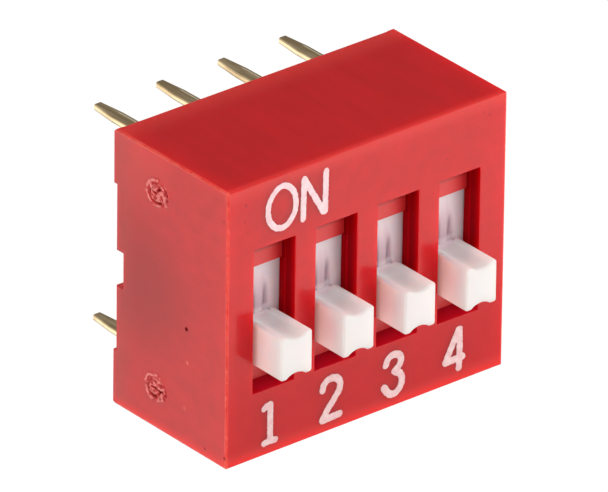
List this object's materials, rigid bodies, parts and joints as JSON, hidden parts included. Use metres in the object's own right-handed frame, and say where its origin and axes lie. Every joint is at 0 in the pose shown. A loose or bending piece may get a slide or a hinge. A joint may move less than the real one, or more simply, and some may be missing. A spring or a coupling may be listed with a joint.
{
  "type": "dip switch",
  "caption": "Slide DIP switch with raised actuators in a stepped-slot cover, two rows of flat solder pins and a sliding bridge contact under each actuator.",
  "frame": {"origin": "centre of the seating plane, where the corner feet meet the board, midway between the two rows of pins", "axes": "+Z away from the board, out of the actuator face; +X along the row from the first position to the last; +Y from OFF to ON; the pins point along -Z"},
  "size_m": [0.0114, 0.0098, 0.0101],
  "materials": {
    "cover_red": "moulded red thermoplastic, satin",
    "base_red": "moulded red thermoplastic, as moulded",
    "actuator_white": "moulded white nylon, semi-gloss",
    "contact_gold": "gold-plated spring alloy",
    "terminal_gold": "gold-plated brass, stamped",
    "print_white": "white pad-printed ink"
  },
  "bodies": {
    "housing": {"cover": "cover_red", "base": "base_red", "terminal_on_1": "terminal_gold", "terminal_on_2": "terminal_gold", "terminal_on_3": "terminal_gold", "terminal_on_4": "terminal_gold", "terminal_off_1": "terminal_gold", "terminal_off_2": "terminal_gold", "terminal_off_3": "terminal_gold", "terminal_off_4": "terminal_gold"},
    "actuator_1": {"slider_1": "actuator_white", "contact_1": "contact_gold"},
    "actuator_2": {"slider_2": "actuator_white", "contact_2": "contact_gold"},
    "actuator_3": {"slider_3": "actuator_white", "contact_3": "contact_gold"},
    "actuator_4": {"slider_4": "actuator_white", "contact_4": "contact_gold"}
  },
  "joints": [
    {"name": "slide_1", "type": "slide", "parent": "housing", "child": "actuator_1", "axis": [0, 1, 0], "range_m": [0, 0.0017]},
    {"name": "slide_2", "type": "slide", "parent": "housing", "child": "actuator_2", "axis": [0, 1, 0], "range_m": [0, 0.0017]},
    {"name": "slide_3", "type": "slide", "parent": "housing", "child": "actuator_3", "axis": [0, 1, 0], "range_m": [0, 0.0017]},
    {"name": "slide_4", "type": "slide", "parent": "housing", "child": "actuator_4", "axis": [0, 1, 0], "range_m": [0, 0.0017]}
  ]
}
